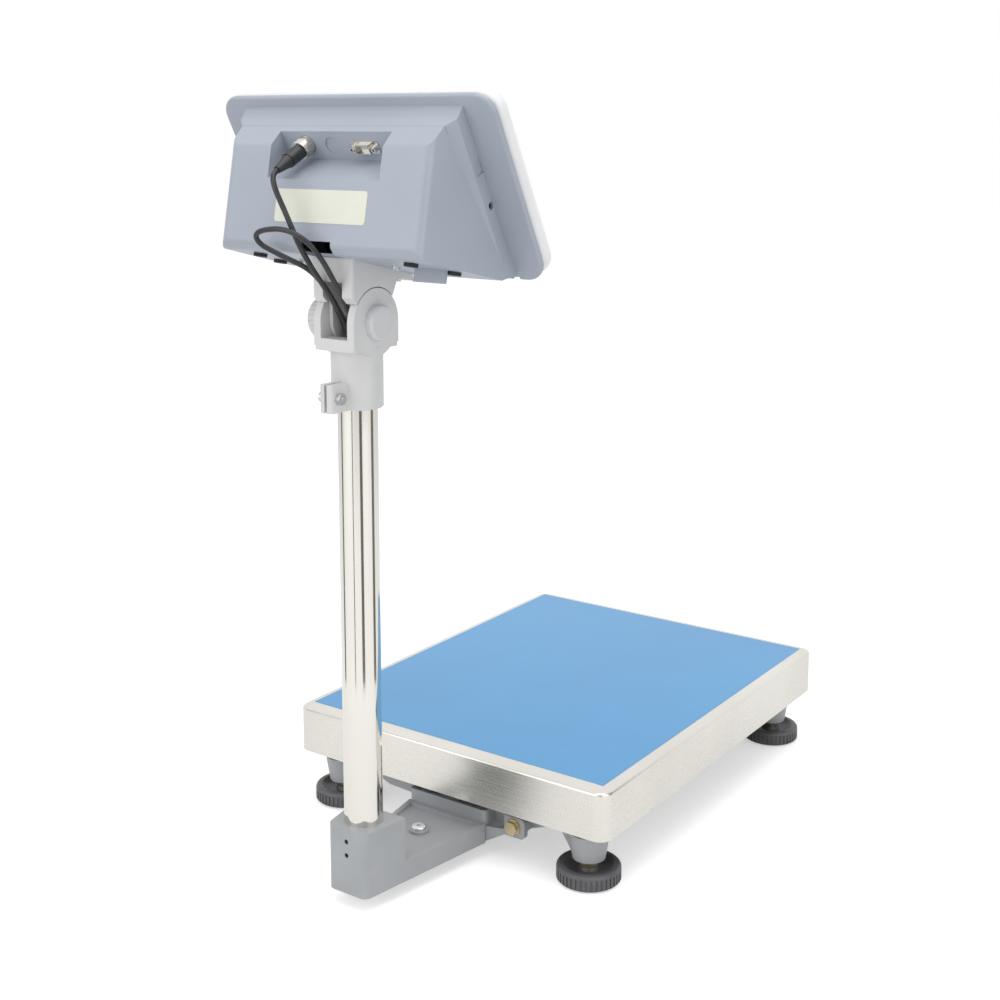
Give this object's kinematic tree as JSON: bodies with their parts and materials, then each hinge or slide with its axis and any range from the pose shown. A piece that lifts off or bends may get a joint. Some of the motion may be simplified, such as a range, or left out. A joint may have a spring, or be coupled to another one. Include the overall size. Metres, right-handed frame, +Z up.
{
  "type": "platform scale",
  "caption": "Floor platform scale with a deep stainless pan on levelling feet, a rear column on a flared arm, and a tilting weight indicator on a clevis head.",
  "frame": {"origin": "on the floor under the middle of the scale's box, without the free cable and its plug", "axes": "+Z up, +Y from the user to the column at the back, +X to the user's right"},
  "size_m": [0.4, 0.7044, 0.788],
  "materials": {
    "stainless": "satin, brushed along X",
    "film": "thin glossy sheet, slightly wrinkled",
    "grey_casting": "fine textured powder coat",
    "polished_tube": "polished stainless",
    "zinc": "bright zinc",
    "yellow_zinc": "yellow passivated zinc",
    "foot_plastic": "hard moulded plastic",
    "rubber": "matt",
    "cell_aluminium": "milled",
    "top_frame_steel": "powder coat",
    "head_paint": "light grey powder coat",
    "knob_plastic": "moulded",
    "shell_grey": "fine textured moulding",
    "bezel_white": "smooth moulding",
    "window_dark": "tinted clear plastic",
    "board": "solder resist",
    "black_plastic": "moulded",
    "key_grey": "silicone key cap",
    "nickel": "nickel plated",
    "label_cream": "bare label stock",
    "cable_black": "flexible sheath"
  },
  "bodies": {
    "base": {"base_frame": "grey_casting", "column_arm": "grey_casting", "column_tube": "polished_tube", "grub_screws": "black_plastic", "arm_screw": "zinc", "crossbeam_screws": "zinc", "ear_bolt": "yellow_zinc", "ear_washer": "yellow_zinc", "lock_nuts": "yellow_zinc", "load_cell": "cell_aluminium", "cell_spacers": "zinc", "cell_bolts": "zinc", "top_frame": "top_frame_steel", "pan_buffers": "rubber", "overload_stops": "zinc", "cell_cable": "cable_black"},
    "pan": {"weighing_pan": "stainless", "pan_film": "film"},
    "head": {"head_clevis": "head_paint", "clamp_bolt": "zinc", "clamp_nut": "zinc", "tilt_bolt": "zinc", "ear_cap": "knob_plastic", "indicator_cable": "cable_black"},
    "indicator": {"tilt_yoke": "head_paint", "rear_shell": "shell_grey", "front_bezel": "bezel_white", "display_window": "window_dark", "circuit_board": "board", "lcd_module": "black_plastic", "battery": "black_plastic", "cell_socket": "nickel", "serial_socket": "nickel", "jack_screws": "nickel", "power_jack": "black_plastic", "label_plate": "label_cream", "case_feet": "rubber", "case_screws": "zinc", "yoke_screws": "zinc", "plug_nut": "nickel", "plug_body": "black_plastic"},
    "tilt_knob": {"tilt_knob": "knob_plastic"},
    "sole_front_left": {"foot_sole_front_left": "rubber"},
    "wheel_front_left": {"foot_wheel_front_left": "foot_plastic", "foot_stud_front_left": "yellow_zinc"},
    "sole_front_right": {"foot_sole_front_right": "rubber"},
    "wheel_front_right": {"foot_wheel_front_right": "foot_plastic", "foot_stud_front_right": "yellow_zinc"},
    "sole_back_left": {"foot_sole_back_left": "rubber"},
    "wheel_back_left": {"foot_wheel_back_left": "foot_plastic", "foot_stud_back_left": "yellow_zinc"},
    "sole_back_right": {"foot_sole_back_right": "rubber"},
    "wheel_back_right": {"foot_wheel_back_right": "foot_plastic", "foot_stud_back_right": "yellow_zinc"},
    "key_1": {"key_1": "key_grey"},
    "key_2": {"key_2": "key_grey"},
    "key_3": {"key_3": "key_grey"},
    "key_4": {"key_4": "key_grey"},
    "key_5": {"key_5": "key_grey"},
    "key_6": {"key_6": "key_grey"}
  },
  "joints": [
    {"name": "pan_lift", "type": "slide", "parent": "base", "child": "pan", "axis": [0, 0, 1], "range_m": [0, 0.1]},
    {"name": "head_turn", "type": "hinge", "parent": "base", "child": "head", "pos_m": [0, 0.2842, 0.52], "axis": [0, 0, 1], "range_deg": [-170, 170]},
    {"name": "indicator_tilt", "type": "hinge", "parent": "head", "child": "indicator", "pos_m": [0, 0.2842, 0.574], "axis": [1, 0, 0], "range_deg": [-25, 20], "deforming": ["indicator_cable"]},
    {"name": "knob_turn", "type": "hinge", "parent": "head", "child": "tilt_knob", "pos_m": [0, 0.2842, 0.574], "axis": [1, 0, 0], "range_deg": [0, 360]},
    {"name": "rise_front_left", "type": "slide", "parent": "base", "child": "sole_front_left", "axis": [0, 0, -1], "range_m": [0, 0.006]},
    {"name": "turn_front_left", "type": "hinge", "parent": "sole_front_left", "child": "wheel_front_left", "pos_m": [-0.1615, -0.3053, 0.01], "axis": [0, 0, -1], "range_deg": [0, 1440]},
    {"name": "rise_front_right", "type": "slide", "parent": "base", "child": "sole_front_right", "axis": [0, 0, -1], "range_m": [0, 0.006]},
    {"name": "turn_front_right", "type": "hinge", "parent": "sole_front_right", "child": "wheel_front_right", "pos_m": [0.1615, -0.3053, 0.01], "axis": [0, 0, -1], "range_deg": [0, 1440]},
    {"name": "rise_back_left", "type": "slide", "parent": "base", "child": "sole_back_left", "axis": [0, 0, -1], "range_m": [0, 0.006]},
    {"name": "turn_back_left", "type": "hinge", "parent": "sole_back_left", "child": "wheel_back_left", "pos_m": [-0.1615, 0.1257, 0.01], "axis": [0, 0, -1], "range_deg": [0, 1440]},
    {"name": "rise_back_right", "type": "slide", "parent": "base", "child": "sole_back_right", "axis": [0, 0, -1], "range_m": [0, 0.006]},
    {"name": "turn_back_right", "type": "hinge", "parent": "sole_back_right", "child": "wheel_back_right", "pos_m": [0.1615, 0.1257, 0.01], "axis": [0, 0, -1], "range_deg": [0, 1440]},
    {"name": "key_1_press", "type": "slide", "parent": "indicator", "child": "key_1", "axis": [0, 0.8829, -0.4695], "range_m": [0, 0.0008], "stiffness_N_per_m": 900},
    {"name": "key_2_press", "type": "slide", "parent": "indicator", "child": "key_2", "axis": [0, 0.8829, -0.4695], "range_m": [0, 0.0008], "stiffness_N_per_m": 900},
    {"name": "key_3_press", "type": "slide", "parent": "indicator", "child": "key_3", "axis": [0, 0.8829, -0.4695], "range_m": [0, 0.0008], "stiffness_N_per_m": 900},
    {"name": "key_4_press", "type": "slide", "parent": "indicator", "child": "key_4", "axis": [0, 0.8829, -0.4695], "range_m": [0, 0.0008], "stiffness_N_per_m": 900},
    {"name": "key_5_press", "type": "slide", "parent": "indicator", "child": "key_5", "axis": [0, 0.8829, -0.4695], "range_m": [0, 0.0008], "stiffness_N_per_m": 900},
    {"name": "key_6_press", "type": "slide", "parent": "indicator", "child": "key_6", "axis": [0, 0.8829, -0.4695], "range_m": [0, 0.0008], "stiffness_N_per_m": 900}
  ],
  "couplings": [
    {"joint": "rise_front_left", "follows": "turn_front_left", "m_per_rad": 0.00023873},
    {"joint": "rise_front_right", "follows": "turn_front_right", "m_per_rad": 0.00023873},
    {"joint": "rise_back_left", "follows": "turn_back_left", "m_per_rad": 0.00023873},
    {"joint": "rise_back_right", "follows": "turn_back_right", "m_per_rad": 0.00023873}
  ]
}
